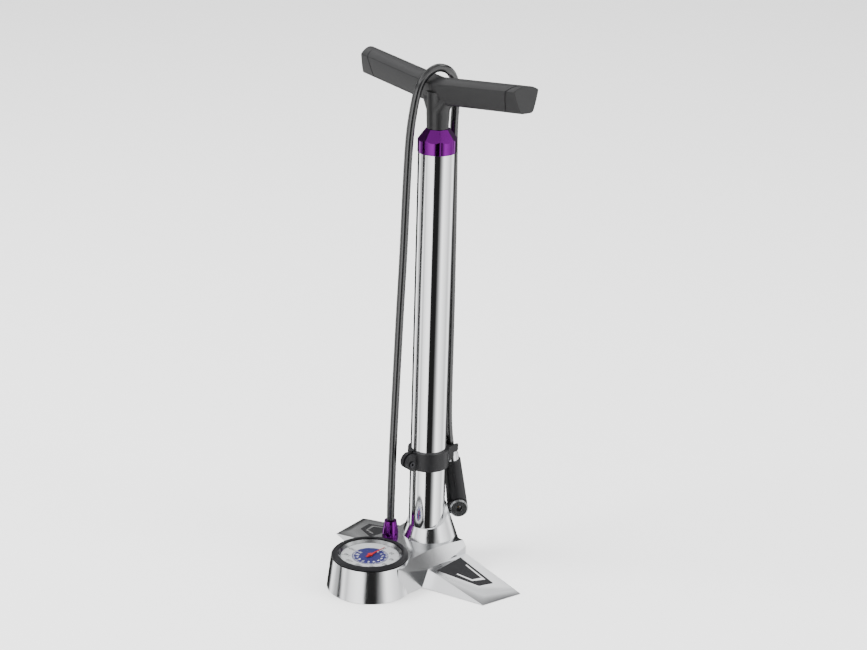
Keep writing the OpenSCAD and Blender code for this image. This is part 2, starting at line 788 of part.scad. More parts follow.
module gauge_needle() {
    color([0.75, 0.08, 0.1]) translate(gauge) rotate([0, 0, zero_turn]) difference() {
        translate([0, 0, needle_z]) union() {
            cylinder(h = 1.6, r = 3.2, $fn = 48);
            linear_extrude(needle_t)
                polygon([[-7, -1.9], [6, -1.7], [needle_len, -0.3], [needle_len, 0.3], [6, 1.7], [-7, 1.9]]);
        }
        translate([0, 0, needle_z - 1]) cylinder(h = 2.1, r = spindle_r + fit, $fn = 32);
    }
}

// bright sloping wall between the dial and the ring
module gauge_bevel() {
    color([0.8, 0.81, 0.82]) translate(gauge) translate([0, 0, dial_z + fit]) difference() {
        cylinder(h = lens_z - dial_z - 2 * fit, r = bevel_r, $fn = 128);
        translate([0, 0, -e]) cylinder(h = lens_z - dial_z + 2 * e, r1 = bevel_foot_r, r2 = ring_in_r, $fn = 128);
    }
}

module gauge_lens() {
    color([0.9, 0.95, 1, 0.4]) translate(gauge) translate([0, 0, lens_z])
        cylinder(h = lens_t, r = lens_r, $fn = 128);
}

// the black ring that closes the gauge, sloping down to its outer edge
module gauge_ring() {
    color([0.06, 0.06, 0.06]) translate(gauge) difference() {
        union() {
            translate([0, 0, pod_h + fit]) cylinder(h = 1.6, r = ring_r, $fn = 128);
            translate([0, 0, pod_h + fit + 1.6])
                cylinder(h = ring_top - pod_h - fit - 1.6, r1 = ring_r, r2 = ring_in_r + 1.2, $fn = 128);
        }
        cylinder(h = lens_z + lens_t + fit, r = lens_r + fit, $fn = 128);
        cylinder(h = 200, r = ring_in_r, $fn = 128);
    }
}

// ---------- hose, collet and clip ----------

// brass tail that the hose is pushed on, screwed into the base
module hose_barb() {
    color([0.78, 0.62, 0.3]) translate([collet_at[0], collet_at[1], 0]) difference() {
        union() {
            translate([0, 0, collet_foot - port_depth + 0.1]) cylinder(h = port_depth, r = port_r - fit, $fn = 48);
            translate([0, 0, collet_foot]) cylinder(h = collet_h - 4, r = barb_r, $fn = 48);
        }
        cylinder(h = 200, r = 1.5, $fn = 24);
    }
}

module hose_collet() {
    flutes = 8;
    color([0.45, 0.14, 0.55]) translate([collet_at[0], collet_at[1], collet_foot + 0.15]) difference() {
        union() {
            cylinder(h = 5, r = collet_d / 2, $fn = 64);
            translate([0, 0, 5]) cylinder(h = collet_h - 5 - 0.15, r1 = collet_d / 2, r2 = collet_top_d / 2, $fn = 64);
        }
        translate([0, 0, -1]) cylinder(h = 100, r = barb_r + fit, $fn = 48);
        for (k = [0 : flutes - 1]) rotate([0, 0, k * 360 / flutes])
            translate([collet_d / 2 + 0.4, 0, 4]) cylinder(h = 40, r = 2.2, $fn = 24);
    }
}

// points along the route, each gap between two of them cut into steps on a smooth curve
function route_at(i) = hose_route[max(0, min(len(hose_route) - 1, i))];
function smooth_point(i, t) =
    let (a = route_at(i - 1), b = route_at(i), c = route_at(i + 1), d = route_at(i + 2))
        0.5 * (2 * b + (c - a) * t + (2 * a - 5 * b + 4 * c - d) * t * t
            + (3 * b - a - 3 * c + d) * t * t * t);
function smooth_route() = concat(
    [for (i = [0 : len(hose_route) - 2]) for (k = [0 : hose_steps - 1]) smooth_point(i, k / hose_steps)],
    [hose_route[len(hose_route) - 1]]
);
function way_at(path, i) =
    let (a = path[max(0, i - 1)], b = path[min(len(path) - 1, i + 1)], d = b - a) d / norm(d);
// a ring of points square to the route, kept from twisting by the X axis; the end rings lie flat on
// the collet's top and on the ferrule's
function ring_points(path, i, r) =
    let (w = i == 0 ? [0, 0, 1] : i == len(path) - 1 ? head_way : way_at(path, i),
        n = cross(w, [1, 0, 0]) / norm(cross(w, [1, 0, 0])), b = cross(w, n))
        [for (k = [0 : hose_sides - 1]) let (t = k * 360 / hose_sides) path[i] + r * (cos(t) * n + sin(t) * b)];

module hose() {
    path = smooth_route();
    rings = len(path);
    points = [for (i = [0 : rings - 1]) each ring_points(path, i, hose_r)];
    sides = [
        for (i = [0 : rings - 2]) for (k = [0 : hose_sides - 1])
            let (j = (k + 1) % hose_sides, p = i * hose_sides, q = p + hose_sides) [p + k, p + j, q + j, q + k]
    ];
    ends = [
        [for (k = [0 : hose_sides - 1]) hose_sides - 1 - k],
        [for (k = [0 : hose_sides - 1]) (rings - 1) * hose_sides + k]
    ];
    color([0.1, 0.1, 0.1]) polyhedron(points = points, faces = concat(sides, ends));
}

// one ear of the clip, on the side that s names; its inner face is left to the slot's cut
module clip_ear(s) {
    wide = ear_t + 1;
    translate([s * (ear_gap / 2 + ear_t - wide / 2), 0, 0]) {
        translate([-wide / 2, -ear_out + 8, clip_z - clip_h / 2 + ear_drop / 2])
            cube([wide, ear_out - 8 - barrel_r, clip_h - 2 * ear_drop]);
        translate([-wide / 2, -ear_out + 10.5, clip_z - ear_drop / 2]) rotate([0, 90, 0])
            cylinder(h = wide, r = 10.5, $fn = 48);
    }
}

// the line of the clip's screw, +Z towards its head
module at_clip_screw() {
    rotate([0, 0, ear_turn]) translate([0, screw_y, clip_z - ear_drop]) rotate([0, 90, 0]) children();
}

// split band with two ears at the front, drawn shut by a screw, and an open fork at the back
module hose_clip() {
    color([0.08, 0.08, 0.08]) difference() {
        union() {
            translate([0, 0, clip_z - clip_h / 2]) cylinder(h = clip_h, r = clip_r, $fn = 96);
            rotate([0, 0, ear_turn]) {
                clip_ear(-1);
                clip_ear(1);
            }
            translate([fork_at[0] - fork_half, 8, clip_z - clip_h / 2])
                cube([2 * fork_half, fork_at[1] + fork_out - 8, clip_h - fork_top_drop]);
        }
        translate([0, 0, clip_z - clip_h]) cylinder(h = 2 * clip_h, r = clip_in_r, $fn = 96);
        rotate([0, 0, ear_turn]) translate([-ear_gap / 2, -60, clip_z - clip_h]) cube([ear_gap, 60, 2 * clip_h]);
        // hole for the screw, and beds for its head and its nut
        at_clip_screw() {
            translate([0, 0, -40]) cylinder(h = 80, r = screw_r + 0.1, $fn = 32);
            translate([0, 0, ear_gap / 2 + ear_t - 1.6]) cylinder(h = 20, r = 4 + fit, $fn = 32);
            translate([0, 0, -ear_gap / 2 - ear_t - 20 + 1.6]) cylinder(h = 20, r = 4.2, $fn = 6);
        }
        // the fork's round seat, its open mouth and its rising underside
        translate([fork_at[0], fork_at[1], 0]) cylinder(h = 400, r = hose_r + 1.4, $fn = 48);
        translate([fork_at[0] - hose_r - 1.4, fork_at[1], 0]) cube([2 * hose_r + 2.8, 60, 400]);
        translate([-60, barrel_r + 1, clip_z - clip_h / 2 - 2]) rotate([38, 0, 0])
            translate([0, 0, -60]) cube([120, 90, 60]);
        // room for the ferrule's shoulder
        translate([head_top[0], head_top[1] + 1, head_top[2] - 60.8]) cylinder(h = 60, r = ferrule_r + 1.5, $fn = 64);
    }
}

module clip_screw() {
    color([0.5, 0.5, 0.52]) at_clip_screw() difference() {
        union() {
            translate([0, 0, ear_gap / 2 + ear_t - 1.55]) cylinder(h = 3.4, r = 3.9, $fn = 32);
            translate([0, 0, -ear_gap / 2 - ear_t + 0.6]) cylinder(h = ear_gap + 2 * ear_t - 1.2, r = screw_r, $fn = 32);
        }
        translate([0, 0, ear_gap / 2 + ear_t]) hex_socket(3, 5);
    }
}

module clip_nut() {
    color([0.5, 0.5, 0.52]) at_clip_screw() translate([0, 0, -ear_gap / 2 - ear_t - 1.5]) difference() {
        cylinder(h = 3, r = 4.1, $fn = 6);
        translate([0, 0, -1]) cylinder(h = 10, r = screw_r + fit, $fn = 32);
    }
}

// ---------- pump head ----------

// bright shoulder that grips the hose's end
module head_ferrule() {
    color([0.82, 0.83, 0.84]) at_head() difference() {
        union() {
            translate([0, 0, -7]) cylinder(h = 7 - 0.1, r1 = ferrule_r, r2 = hose_r + 1, $fn = 64);
            translate([0, 0, -ferrule_h]) cylinder(h = ferrule_h - 7, r = ferrule_r, $fn = 64);
        }
        translate([0, 0, -ferrule_h - 1]) cylinder(h = 40, r = 2, $fn = 24);
    }
}

// elbow that turns the air from the hose to the mouth
module head_body() {
    color([0.7, 0.71, 0.72]) {
        difference() {
            union() {
                at_head() translate([0, 0, -mouth_drop - 8])
                    cylinder(h = mouth_drop + 8 - ferrule_h - 0.1, r = body_r, $fn = 48);
                at_mouth() cylinder(h = chuck_near + chuck_len - face_t - washer_t - 0.2, r = thread_r, $fn = 48);
            }
            at_head() translate([0, 0, -mouth_drop]) cylinder(h = mouth_drop, r = 1.6, $fn = 24);
            at_mouth() translate([0, 0, -1]) cylinder(h = 40, r = 1.8, $fn = 24);
        }
    }
}

module head_sleeve() {
    long = mouth_drop + 13;
    color([0.07, 0.07, 0.07]) difference() {
        at_head() difference() {
            union() {
                translate([0, 0, -mouth_drop]) cylinder(h = mouth_drop - ferrule_h + 3,
                    r1 = sleeve_foot_d / 2, r2 = sleeve_top_d / 2, $fn = 64);
                translate([0, 0, -long + 4]) cylinder(h = long - mouth_drop - 4, r = sleeve_foot_d / 2, $fn = 64);
                translate([0, 0, -long]) cylinder(h = 4, r1 = sleeve_foot_d / 2 - 4, r2 = sleeve_foot_d / 2, $fn = 64);
            }
            translate([0, 0, -mouth_drop - 8 - fit]) cylinder(h = 200, r = body_r + fit, $fn = 48);
            translate([0, 0, -ferrule_h - fit]) cylinder(h = 200, r = ferrule_r + fit, $fn = 64);
        }
        at_mouth() cylinder(h = 60, r = thread_r + fit, $fn = 48);
        at_mouth() translate([0, 0, chuck_near - gap]) cylinder(h = 60, r = chuck_d / 2 + gap, $fn = 64);
    }
}

// knurled ring that is screwed down on the tyre valve
module chuck_ring() {
    knurls = 24;
    color([0.8, 0.81, 0.82]) at_mouth() difference() {
        union() {
            translate([0, 0, chuck_near]) cylinder(h = chuck_len - 2, r = chuck_d / 2, $fn = 96);
            translate([0, 0, chuck_near + chuck_len - 2])
                cylinder(h = 2, r1 = chuck_d / 2, r2 = chuck_d / 2 - 1.8, $fn = 96);
        }
        translate([0, 0, chuck_near - 1]) cylinder(h = chuck_len - face_t + 1, r = thread_r + run, $fn = 48);
        cylinder(h = 60, r = mouth_d / 2, $fn = 48);
        for (k = [0 : knurls - 1]) rotate([0, 0, k * 360 / knurls])
            translate([chuck_d / 2 + 0.35, 0, chuck_near - 1]) cylinder(h = chuck_len - 1.4, r = 0.8, $fn = 16);
    }
}

module chuck_washer() {
    color([0.1, 0.1, 0.1]) at_mouth()
        translate([0, 0, chuck_near + chuck_len - face_t - washer_t]) tube(washer_r, 3.4, washer_t - 0.1);
}

// pin that pushes the tyre valve's core open
module valve_pin() {
    color([0.78, 0.62, 0.3]) at_mouth() {
        translate([0, 0, 7]) cylinder(h = 1.5, r = 1.8 - fit, $fn = 24);
        translate([0, 0, 7]) cylinder(h = chuck_near + chuck_len - 13, r = 1.1, $fn = 24);
    }
}

base_casting();
tread_pad_left();
tread_pad_right();
tread_inlay_left();
tread_inlay_right();
floor_pad_centre();
floor_pad_front();
floor_pad_left();
floor_pad_right();
barrel();
barrel_o_ring();
barrel_screws();
valve_seat();
valve_ball();
valve_spring();
valve_cage();
top_cap();
rod_bush();
rod_wiper();
piston_rod();
piston();
piston_o_ring();
piston_bolt();
rod_bumper();
handle_grip();
handle_insert();
end_cap_left();
end_cap_right();
gauge_case();
gauge_socket();
bourdon_tube();
gauge_movement();
gauge_sector();
gauge_spindle();
gauge_dial();
gauge_needle();
gauge_bevel();
gauge_lens();
gauge_ring();
hose_barb();
hose_collet();
hose();
hose_clip();
clip_screw();
clip_nut();
head_ferrule();
head_body();
head_sleeve();
chuck_ring();
chuck_washer();
valve_pin();
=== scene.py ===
"""The finished look of a floor pump: a polished cast base with a dial gauge, a polished barrel, a
black T handle, purple anodised fittings, and a rubber hose looped over the handle to its head."""
import math

import bmesh
import bpy
from mathutils import Matrix, Vector


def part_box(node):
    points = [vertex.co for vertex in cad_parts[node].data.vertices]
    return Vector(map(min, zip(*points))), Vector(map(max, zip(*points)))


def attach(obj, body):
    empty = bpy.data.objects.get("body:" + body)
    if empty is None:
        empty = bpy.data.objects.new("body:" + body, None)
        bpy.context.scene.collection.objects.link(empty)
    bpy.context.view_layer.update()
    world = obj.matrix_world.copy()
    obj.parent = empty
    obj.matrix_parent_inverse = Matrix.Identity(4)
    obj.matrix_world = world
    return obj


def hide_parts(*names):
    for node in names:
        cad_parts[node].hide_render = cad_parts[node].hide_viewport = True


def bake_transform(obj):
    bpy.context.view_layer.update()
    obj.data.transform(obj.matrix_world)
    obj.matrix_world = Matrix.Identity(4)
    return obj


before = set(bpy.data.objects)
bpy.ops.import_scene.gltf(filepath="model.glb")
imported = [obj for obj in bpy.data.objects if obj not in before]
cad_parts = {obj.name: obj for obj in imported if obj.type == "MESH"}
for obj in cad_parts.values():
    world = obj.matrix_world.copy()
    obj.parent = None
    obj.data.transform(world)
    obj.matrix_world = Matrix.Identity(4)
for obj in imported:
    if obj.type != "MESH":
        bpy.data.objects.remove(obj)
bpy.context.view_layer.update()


# ---------------------------------------------------------------------------
# Camera: a long lens at table height, to the right of the gauge and looking a little down, far
# enough back that the pump's uprights stay nearly parallel.
# ---------------------------------------------------------------------------
camera_data = bpy.data.cameras.new("camera")
camera_data.lens = 84.72
camera_data.sensor_width = 36.0
camera_data.clip_end = 50.0
camera = bpy.data.objects.new("camera", camera_data)
bpy.context.scene.collection.objects.link(camera)
camera.location = (1.6741, -1.6958, 1.2011)
camera.rotation_euler = (math.radians(69.842), math.radians(-1.568), math.radians(45.160))
bpy.context.scene.camera = camera


# ---------------------------------------------------------------------------
# Hose: black rubber over a textile layer, 10 mm thick. It is pushed on a barb inside the purple
# collet, runs up over the handle and comes down to the head that hangs in the clip.
# ---------------------------------------------------------------------------
HOSE_RADIUS = 0.005
HOSE_SIDES = 24
HOSE_STEPS = 6
HEAD_WAY = Vector((0.06959, 0.12053, -0.99027))
HOSE_ROUTE_MM = [
    (-26, -39, 62), (-26, -39, 80), (-25, -39.5, 120), (-24, -39.5, 165), (-21, -39.5, 248),
    (-17, -39.5, 347), (-14, -39, 424), (-12, -38.5, 500), (-10, -38, 555), (-9, -36.5, 582),
    (-8, -34, 602), (-7.5, -31, 617), (-7, -27, 630), (-6, -20.5, 640.5), (-5, -11, 648),
    (-4, 0, 651.5), (-3, 11, 650), (-2.5, 21, 644.5), (-2, 28, 634), (-2, 31.5, 619),
    (-2.5, 32, 600), (-3, 31.5, 572), (-2, 31.5, 530), (0, 31.5, 439), (1.5, 31.5, 330),
    (2, 31.5, 235), (2.5, 32, 195), (3, 34, 170), (3, 38, 149),
]


def smooth_route(points, steps):
    """A smooth curve through the route's points, with steps rings between two of them."""
    route = []
    last = len(points) - 1
    for i in range(last):
        a, b = points[max(0, i - 1)], points[i]
        c, d = points[i + 1], points[min(last, i + 2)]
        for k in range(steps):
            t = k / steps
            route.append(0.5 * (2 * b + (c - a) * t + (2 * a - 5 * b + 4 * c - d) * t * t
                                + (3 * b - a - 3 * c + d) * t * t * t))
    route.append(points[last].copy())
    return route


hose_path = smooth_route([Vector(p) / 1000 for p in HOSE_ROUTE_MM], HOSE_STEPS)
hose_mesh = bmesh.new()
hose_uv = hose_mesh.loops.layers.uv.new("UVMap")
hose_rings = []
hose_along = [0.0]
for i, point in enumerate(hose_path):
    if i:
        hose_along.append(hose_along[-1] + (point - hose_path[i - 1]).length)
    way = (hose_path[min(i + 1, len(hose_path) - 1)] - hose_path[max(i - 1, 0)]).normalized()
    if i == 0:
        way = Vector((0, 0, 1))
    if i == len(hose_path) - 1:
        way = HEAD_WAY
    side = way.cross(Vector((1, 0, 0))).normalized()
    up = way.cross(side)
    turns = [2 * math.pi * k / HOSE_SIDES for k in range(HOSE_SIDES)]
    hose_rings.append([
        hose_mesh.verts.new(point + HOSE_RADIUS * (math.cos(a) * side + math.sin(a) * up))
        for a in turns])
for i in range(len(hose_rings) - 1):
    for k in range(HOSE_SIDES):
        j = (k + 1) % HOSE_SIDES
        face = hose_mesh.faces.new(
            (hose_rings[i][k], hose_rings[i][j], hose_rings[i + 1][j], hose_rings[i + 1][k]))
        face.smooth = True
        corners = ((k, i), (k + 1, i), (k + 1, i + 1), (k, i + 1))
        for loop, (u, v) in zip(face.loops, corners):
            loop[hose_uv].uv = (u / HOSE_SIDES, hose_along[v])
hose_mesh.faces.new(list(reversed(hose_rings[0])))
hose_mesh.faces.new(hose_rings[-1])
bmesh.ops.recalc_face_normals(hose_mesh, faces=hose_mesh.faces)
hose_data = bpy.data.meshes.new("rubber_hose")
hose_mesh.to_mesh(hose_data)
hose_mesh.free()
hose = bpy.data.objects.new("rubber_hose", hose_data)
bpy.context.scene.collection.objects.link(hose)


def group_input(group, kind, name, value):
    """Give a node group a named input with its usual value."""
    socket = group.interface.new_socket(name=name, in_out="INPUT", socket_type=kind)
    socket.default_value = value


def node(tree, kind, **values):
    """Add a node of a kind to a tree, with its settings."""
    made = tree.nodes.new(kind)
    for key, value in values.items():
        setattr(made, key, value)
    return made


def math_node(tree, operation, a, b=None):
    """Work out operation on a and b, each a number or another node's output."""
    made = node(tree, "ShaderNodeMath", operation=operation)
    for socket, value in zip(made.inputs, (a, b)):
        if value is None:
            continue
        if isinstance(value, (int, float)):
            socket.default_value = value
        else:
            tree.links.new(value, socket)
    return made.outputs[0]


# fine grain and broad smudges of a handled surface, as masks from 0 to 1
grain = bpy.data.node_groups.new("grain_and_smudge", "ShaderNodeTree")
group_input(grain, "NodeSocketVector", "Place", (0, 0, 0))
group_input(grain, "NodeSocketFloat", "Grain size", 900.0)
group_input(grain, "NodeSocketFloat", "Smudge size", 18.0)
for output_name in ("Grain", "Smudge", "Speck"):
    grain.interface.new_socket(name=output_name, in_out="OUTPUT", socket_type="NodeSocketFloat")
grain_in = node(grain, "NodeGroupInput")
grain_out = node(grain, "NodeGroupOutput")
fine = node(grain, "ShaderNodeTexNoise")
fine.inputs["Detail"].default_value = 3.0
broad = node(grain, "ShaderNodeTexNoise")
broad.inputs["Detail"].default_value = 5.0
broad.inputs["Roughness"].default_value = 0.6
speck = node(grain, "ShaderNodeTexVoronoi")
for texture, size in ((fine, "Grain size"), (broad, "Smudge size"), (speck, "Grain size")):
    grain.links.new(grain_in.outputs["Place"], texture.inputs["Vector"])
    grain.links.new(grain_in.outputs[size], texture.inputs["Scale"])
grain.links.new(fine.outputs["Fac"], grain_out.inputs["Grain"])
grain.links.new(broad.outputs["Fac"], grain_out.inputs["Smudge"])
grain.links.new(speck.outputs["Distance"], grain_out.inputs["Speck"])


def finish(name, colour, metallic, rough, tint=0.12, rough_span=0.12, grain_size=900.0,
           smudge_size=18.0, depth=0.00002, stretch=(1, 1, 1), coat=0.0, speck_depth=False,
           place="Object", specular=0.3):
    """A material: its colour and roughness drift with smudges, and a fine grain lifts it."""
    made = bpy.data.materials.new(name)
    made.use_nodes = True
    tree = made.node_tree
    shader = tree.nodes["Principled BSDF"]
    shader.inputs["Metallic"].default_value = metallic
    shader.inputs["Coat Weight"].default_value = coat
    shader.inputs["Specular IOR Level"].default_value = specular
    coordinates = node(tree, "ShaderNodeTexCoord")
    mapping = node(tree, "ShaderNodeMapping")
    mapping.inputs["Scale"].default_value = stretch
    tree.links.new(coordinates.outputs[place], mapping.inputs["Vector"])
    effect = node(tree, "ShaderNodeGroup", node_tree=grain)
    effect.inputs["Grain size"].default_value = grain_size
    effect.inputs["Smudge size"].default_value = smudge_size
    tree.links.new(mapping.outputs[0], effect.inputs["Place"])
    mix = node(tree, "ShaderNodeMix", data_type="RGBA")
    mix.inputs["A"].default_value = (*[c * (1 - tint) for c in colour], 1)
    mix.inputs["B"].default_value = (*[min(1, c * (1 + tint)) for c in colour], 1)
    tree.links.new(effect.outputs["Smudge"], mix.inputs["Factor"])
    tree.links.new(mix.outputs["Result"], shader.inputs["Base Color"])
    drift = math_node(tree, "MULTIPLY", effect.outputs["Smudge"], rough_span)
    grit = math_node(tree, "MULTIPLY", effect.outputs["Grain"], rough_span * 0.5)
    total = math_node(tree, "ADD", math_node(tree, "ADD", drift, grit), rough - 0.75 * rough_span)
    tree.links.new(total, shader.inputs["Roughness"])
    bump = node(tree, "ShaderNodeBump")
    bump.inputs["Distance"].default_value = depth
    tree.links.new(effect.outputs["Speck" if speck_depth else "Grain"], bump.inputs["Height"])
    tree.links.new(bump.outputs["Normal"], shader.inputs["Normal"])
    return made


hose_rubber = finish("hose_rubber", (0.004, 0.004, 0.0045), 0.0, 0.27, grain_size=300.0,
                     smudge_size=3.0, depth=0.000008, stretch=(1, 8, 1), place="UV",
                     specular=0.8, rough_span=0.08, coat=0.6)
hose.data.materials.append(hose_rubber)
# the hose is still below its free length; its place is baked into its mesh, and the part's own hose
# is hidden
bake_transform(hose)
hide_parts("hose")


# ---------------------------------------------------------------------------
# Base: one aluminium casting, ground and polished bright. Its gauge pod, plinth, collar and two
# feet flow into each other, and every edge is softened by the polishing wheel.
# ---------------------------------------------------------------------------
JOIN_WITHIN = 0.000004
FLAT_WITHIN = 0.3
SMOOTH_BELOW = 38
FLAT_FACE_WEIGHT = 80


def only(piece):
    """Make piece the one selected and active object."""
    if bpy.context.object and bpy.context.object.mode != "OBJECT":
        bpy.ops.object.mode_set(mode="OBJECT")
    bpy.ops.object.select_all(action="DESELECT")
    piece.select_set(True)
    bpy.context.view_layer.objects.active = piece


def merged_copy(node_name, piece_name):
    """A copy of a part's mesh with its loose triangles joined and its flat faces made whole."""
    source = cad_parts[node_name]
    data = source.data.copy()
    data.transform(source.matrix_world)
    data.materials.clear()
    piece = bpy.data.objects.new(piece_name, data)
    bpy.context.scene.collection.objects.link(piece)
    only(piece)
    bpy.ops.object.mode_set(mode="EDIT")
    bpy.ops.mesh.select_all(action="SELECT")
    bpy.ops.mesh.remove_doubles(threshold=JOIN_WITHIN)
    bpy.ops.mesh.dissolve_limited(angle_limit=math.radians(FLAT_WITHIN))
    bpy.ops.object.mode_set(mode="OBJECT")
    return piece


def soften(piece, width, angle=30, segments=2):
    """Round the piece's edges that are sharper than angle, and shade it smooth between the rest."""
    only(piece)
    if width:
        bevel = piece.modifiers.new("edges", "BEVEL")
        bevel.width = width
        bevel.segments = segments
        bevel.limit_method = "ANGLE"
        bevel.angle_limit = math.radians(angle)
        bevel.miter_outer = "MITER_ARC"
        bpy.ops.object.modifier_apply(modifier=bevel.name)
    bpy.ops.object.shade_smooth_by_angle(angle=math.radians(SMOOTH_BELOW))
    if width:
        flats = piece.modifiers.new("flats", "WEIGHTED_NORMAL")
        flats.keep_sharp = True
        flats.weight = FLAT_FACE_WEIGHT
        bpy.ops.object.modifier_apply(modifier=flats.name)


def mount_piece(piece, material, body, slot, *nodes):
    """Give the piece its material and its place among the bodies."""
    piece.data.materials.clear()
    piece.data.materials.append(material)
    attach(piece, body)
    if nodes:
        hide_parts(*nodes)


def finished(node_name, material, body, slot, width=0.0003, angle=30, segments=2):
    """Finish one part: its copy gets rounded edges, a material and a place in its stead."""
    piece = merged_copy(node_name, node_name + "_finished")
    soften(piece, width, angle, segments)
    mount_piece(piece, material, body, slot, node_name)
    return piece


polished_cast = finish("polished_cast_aluminium", (0.86, 0.87, 0.885), 1.0, 0.16, tint=0.04,
                       rough_span=0.06, grain_size=450.0, smudge_size=14.0, depth=0.000006)
finished("base_casting", polished_cast, "base", "cast_aluminium",
         width=0.0018, angle=24, segments=4)


# ---------------------------------------------------------------------------
# Tread pads: moulded black rubber let into the feet, with a bright arrow-shaped strip in each.
# The pump stands on four plain rubber pads under the casting.
# ---------------------------------------------------------------------------
tread_rubber = finish("tread_rubber", (0.011, 0.011, 0.012), 0.0, 0.62, grain_size=1500.0,
                      smudge_size=40.0, depth=0.00006, speck_depth=True)
inlay_chrome = finish("inlay_chrome", (0.9, 0.9, 0.91), 1.0, 0.14, tint=0.03, rough_span=0.05,
                      grain_size=700.0, depth=0.000004)
for side in ("left", "right"):
    finished("tread_pad_" + side, tread_rubber, "base", "tread_rubber", width=0.0004)
    finished("tread_inlay_" + side, inlay_chrome, "base", "chrome_trim", width=0.00015)
for place in ("centre", "front", "left", "right"):
    finished("floor_pad_" + place, tread_rubber, "base", "tread_rubber", width=0.0004)


# ---------------------------------------------------------------------------
# Barrel: a drawn aluminium tube, polished to a mirror, pressed into the collar. Its top is turned
# down for the cap, which comes down to its shoulder.
# ---------------------------------------------------------------------------
SEAM_WITHIN = 0.000002


def turned(name, profile, steps=128, centre=(0, 0)):
    """A round piece: the profile's (radius, height) points turned about an upright axis."""
    data = bpy.data.meshes.new(name)
    points = [(centre[0] + r, centre[1], z) for r, z in profile]
    closed = [(i, (i + 1) % len(points)) for i in range(len(points))]
    data.from_pydata(points, closed, [])
    piece = bpy.data.objects.new(name, data)
    bpy.context.scene.collection.objects.link(piece)
    only(piece)
    bpy.ops.object.mode_set(mode="EDIT")
    bpy.ops.mesh.select_all(action="SELECT")
    bpy.ops.mesh.spin(steps=steps, angle=2 * math.pi, center=(centre[0], centre[1], 0),
                      axis=(0, 0, 1))
    bpy.ops.mesh.select_all(action="SELECT")
    bpy.ops.mesh.remove_doubles(threshold=SEAM_WITHIN)
    bpy.ops.mesh.normals_make_consistent(inside=False)
    bpy.ops.object.mode_set(mode="OBJECT")
    return piece


drawn_tube = finish("polished_drawn_tube", (0.9, 0.905, 0.915), 1.0, 0.075, tint=0.02,
                    rough_span=0.05, grain_size=700.0, smudge_size=10.0, depth=0.000003,
                    stretch=(1, 1, 0.02))
BARREL_BORE_R = 0.021
PLUG_BORE_R = 0.004
PLUG_HEIGHT = 0.016
CAP_SEAT_DEPTH = 0.0119
TURNED_DOWN = 0.001
BARREL_EDGE = 0.0004
barrel_low, barrel_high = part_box("barrel")
barrel_r = (barrel_high[0] - barrel_low[0]) / 2
foot_z, top_z = barrel_low[2], barrel_high[2]
seat_z = top_z - CAP_SEAT_DEPTH
barrel = turned("barrel_tube", [
    (BARREL_BORE_R, foot_z + PLUG_HEIGHT), (BARREL_BORE_R, top_z),
    (barrel_r - TURNED_DOWN, top_z), (barrel_r - TURNED_DOWN, seat_z),
    (barrel_r - BARREL_EDGE, seat_z), (barrel_r, seat_z - BARREL_EDGE),
    (barrel_r, foot_z + BARREL_EDGE), (barrel_r - BARREL_EDGE, foot_z),
    (PLUG_BORE_R, foot_z), (PLUG_BORE_R, foot_z + PLUG_HEIGHT)], steps=160)
soften(barrel, 0)
mount_piece(barrel, drawn_tube, "base", "barrel_aluminium", "barrel")


# ---------------------------------------------------------------------------
# Top cap and hose collet: turned aluminium, anodised purple. The cap has grooves between the
# flats of its cone, and the collet has flutes for the fingers.
# ---------------------------------------------------------------------------
anodised = finish("purple_anodised", (0.16, 0.008, 0.21), 1.0, 0.17, tint=0.08, rough_span=0.06,
                  grain_size=900.0, smudge_size=30.0, depth=0.000004, stretch=(1, 1, 6))
finished("top_cap", anodised, "base", "anodised_purple", width=0.0004, angle=20)
finished("hose_collet", anodised, "base", "anodised_purple", width=0.0004, angle=25)


# ---------------------------------------------------------------------------
# Rod: chromed steel tube, with the moulded piston, its O-ring and the rubber bumper at its foot.
# It slides in a nylon bush and a rubber wiper in the cap.
# ---------------------------------------------------------------------------
rod_steel = finish("rod_steel", (0.72, 0.73, 0.75), 1.0, 0.16, tint=0.03, rough_span=0.06,
                   grain_size=900.0, depth=0.000003, stretch=(1, 1, 0.03))
ROD_R = 0.006
ROD_BORE_R = 0.004
ROD_EDGE = 0.0004
rod_low, rod_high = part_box("piston_rod")
rod = turned("piston_rod_tube", [
    (ROD_BORE_R, rod_low[2]), (ROD_BORE_R, rod_high[2]), (ROD_R - ROD_EDGE, rod_high[2]),
    (ROD_R, rod_high[2] - ROD_EDGE), (ROD_R, rod_low[2] + ROD_EDGE),
    (ROD_R - ROD_EDGE, rod_low[2])], steps=64)
soften(rod, 0)
mount_piece(rod, rod_steel, "rod", "steel", "piston_rod")
plain_steel = finish("plated_steel", (0.56, 0.57, 0.59), 1.0, 0.3, grain_size=1200.0,
                     depth=0.00001)
seal_rubber = finish("seal_rubber", (0.008, 0.008, 0.009), 0.0, 0.45, grain_size=1500.0,
                     depth=0.00001)
nylon = finish("white_nylon", (0.78, 0.77, 0.72), 0.0, 0.5, tint=0.04, grain_size=1200.0,
               depth=0.00001)
piston_plastic = finish("piston_plastic", (0.02, 0.02, 0.022), 0.0, 0.42, grain_size=1200.0,
                        depth=0.00001)
brass = finish("machined_brass", (0.76, 0.56, 0.24), 1.0, 0.26, tint=0.08, grain_size=900.0,
               depth=0.000008)
finished("piston", piston_plastic, "rod", "piston_plastic")
finished("piston_bolt", plain_steel, "rod", "steel", width=0.0002)
finished("rod_bumper", seal_rubber, "rod", "seal_rubber", width=0.0005)
finished("piston_o_ring", seal_rubber, "seal", "seal_rubber", width=0.001)
finished("rod_bush", nylon, "base", "bush_nylon", width=0.0002)
finished("rod_wiper", seal_rubber, "base", "seal_rubber", width=0.0003)


